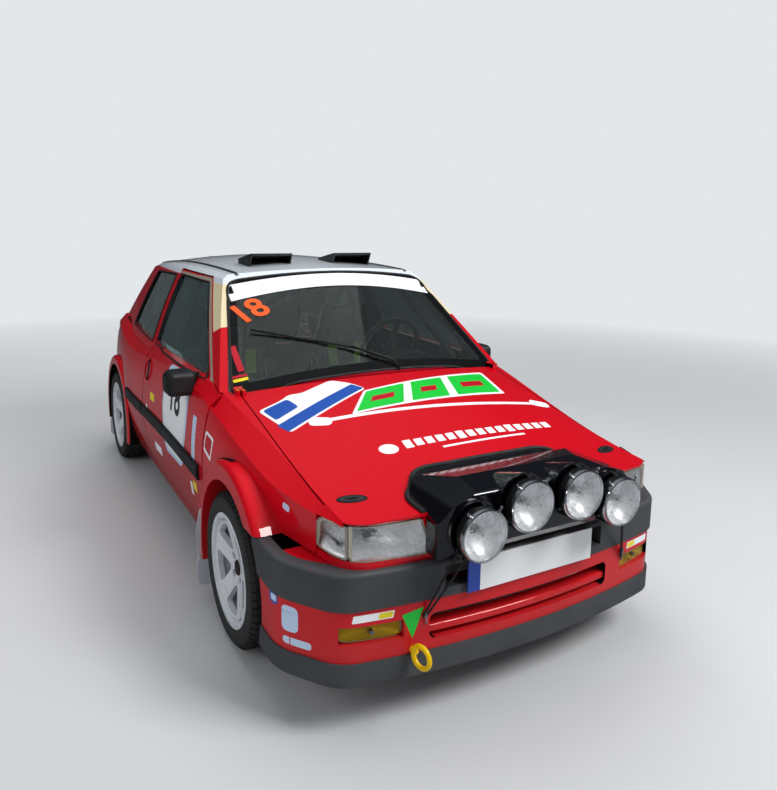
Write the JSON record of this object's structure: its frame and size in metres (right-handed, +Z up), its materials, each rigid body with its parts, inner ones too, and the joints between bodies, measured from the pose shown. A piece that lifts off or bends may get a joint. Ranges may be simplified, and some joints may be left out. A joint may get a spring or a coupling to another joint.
{
  "type": "rally hatchback car",
  "caption": "Three-door rally hatchback with lamp pod on the bonnet, bucket seats, roll cage, opening doors, bonnet and tailgate, and steered, rolling wheels.",
  "frame": {"origin": "middle of the box round the car, at ground level", "axes": "+Y to the tail, +X to the car's left side, +Z up"},
  "size_m": [1.73, 3.8593, 1.394],
  "materials": {
    "red_paint": "gloss",
    "white_paint": "gloss",
    "trim_plastic": "grained",
    "black_gloss": "gloss",
    "mirror_plastic": "satin",
    "clear_glass": "clear",
    "lamp_glass": "clear",
    "yellow_glass": "clear",
    "red_lens": "clear",
    "plate_white": "gloss",
    "tow_yellow": "gloss",
    "rubber_black": "matte",
    "flap_plastic": "satin",
    "dash_plastic": "grained",
    "seat_fabric": "woven",
    "cage_steel": "satin",
    "chassis_black": "satin",
    "engine_metal": "cast",
    "exhaust_steel": "heat dulled",
    "hub_iron": "raw",
    "tyre_rubber": "matte",
    "wheel_white": "gloss",
    "wheel_grip": "grained"
  },
  "bodies": {
    "root": {"floor_pan": "red_paint", "body_side_left": "red_paint", "body_side_right": "red_paint", "roof": "white_paint", "front_wing_left": "red_paint", "front_wing_right": "red_paint", "front_panel": "red_paint", "front_lamps": "lamp_glass", "fog_lamps": "yellow_glass", "front_bumper": "red_paint", "bumper_trim": "trim_plastic", "tow_ring": "tow_yellow", "number_plates": "plate_white", "rear_bumper": "trim_plastic", "tail_lamps": "red_lens", "fixed_glass": "clear_glass", "wiper": "mirror_plastic", "dashboard": "dash_plastic", "seats": "seat_fabric", "roll_cage": "cage_steel", "engine": "engine_metal", "front_subframe": "chassis_black", "rear_axle": "chassis_black", "exhaust": "exhaust_steel", "mud_flaps": "flap_plastic", "roof_vents": "rubber_black"},
    "bonnet": {"bonnet": "red_paint", "lamp_pod": "black_gloss", "pod_lamps": "lamp_glass"},
    "door_left": {"door_left": "red_paint", "door_glass_left": "clear_glass", "mirror_left": "mirror_plastic"},
    "door_right": {"door_right": "red_paint", "door_glass_right": "clear_glass", "mirror_right": "mirror_plastic"},
    "tailgate": {"tailgate": "red_paint", "tailgate_glass": "clear_glass"},
    "steering_wheel": {"steering_wheel": "wheel_grip"},
    "knuckle_left": {"knuckle_left": "hub_iron"},
    "knuckle_right": {"knuckle_right": "hub_iron"},
    "wheel_front_left": {"tyre_front_left": "tyre_rubber", "rim_front_left": "wheel_white"},
    "wheel_front_right": {"tyre_front_right": "tyre_rubber", "rim_front_right": "wheel_white"},
    "wheel_rear_left": {"tyre_rear_left": "tyre_rubber", "rim_rear_left": "wheel_white"},
    "wheel_rear_right": {"tyre_rear_right": "tyre_rubber", "rim_rear_right": "wheel_white"}
  },
  "joints": [
    {"name": "bonnet_hinge", "type": "hinge", "parent": "root", "child": "bonnet", "pos_m": [0, -0.7125, 0.885], "axis": [-1, 0, 0], "range_deg": [0, 50]},
    {"name": "door_left_hinge", "type": "hinge", "parent": "root", "child": "door_left", "pos_m": [0.769, -0.6615, 0.33], "axis": [0.0472, 0, -0.9989], "range_deg": [0, 62]},
    {"name": "door_right_hinge", "type": "hinge", "parent": "root", "child": "door_right", "pos_m": [-0.769, -0.6615, 0.33], "axis": [0.0472, 0, 0.9989], "range_deg": [0, 62]},
    {"name": "tailgate_hinge", "type": "hinge", "parent": "root", "child": "tailgate", "pos_m": [0, 1.4005, 1.303], "axis": [1, 0, 0], "range_deg": [0, 80]},
    {"name": "steering", "type": "hinge", "parent": "root", "child": "steering_wheel", "pos_m": [0.355, -0.2175, 0.905], "axis": [0, 0.9135, 0.4067], "range_deg": [-540, 540]},
    {"name": "knuckle_left_turn", "type": "hinge", "parent": "root", "child": "knuckle_left", "pos_m": [0.669, -1.0625, 0.172], "axis": [-0.2093, 0, 0.9779], "range_deg": [-33.5, 33.5]},
    {"name": "knuckle_right_turn", "type": "hinge", "parent": "root", "child": "knuckle_right", "pos_m": [-0.669, -1.0625, 0.172], "axis": [0.2093, 0, 0.9779], "range_deg": [-33.5, 33.5]},
    {"name": "wheel_front_left_spin", "type": "hinge", "parent": "knuckle_left", "child": "wheel_front_left", "pos_m": [0.714, -1.0625, 0.288], "axis": [1, 0, 0], "continuous": true},
    {"name": "wheel_front_right_spin", "type": "hinge", "parent": "knuckle_right", "child": "wheel_front_right", "pos_m": [-0.714, -1.0625, 0.288], "axis": [1, 0, 0], "continuous": true},
    {"name": "wheel_rear_left_spin", "type": "hinge", "parent": "root", "child": "wheel_rear_left", "pos_m": [0.714, 1.3225, 0.288], "axis": [1, 0, 0], "continuous": true},
    {"name": "wheel_rear_right_spin", "type": "hinge", "parent": "root", "child": "wheel_rear_right", "pos_m": [-0.714, 1.3225, 0.288], "axis": [1, 0, 0], "continuous": true}
  ],
  "couplings": [
    {"joint": "knuckle_left_turn", "follows": "steering", "ratio": 0.061111},
    {"joint": "knuckle_right_turn", "follows": "steering", "ratio": 0.061111}
  ]
}
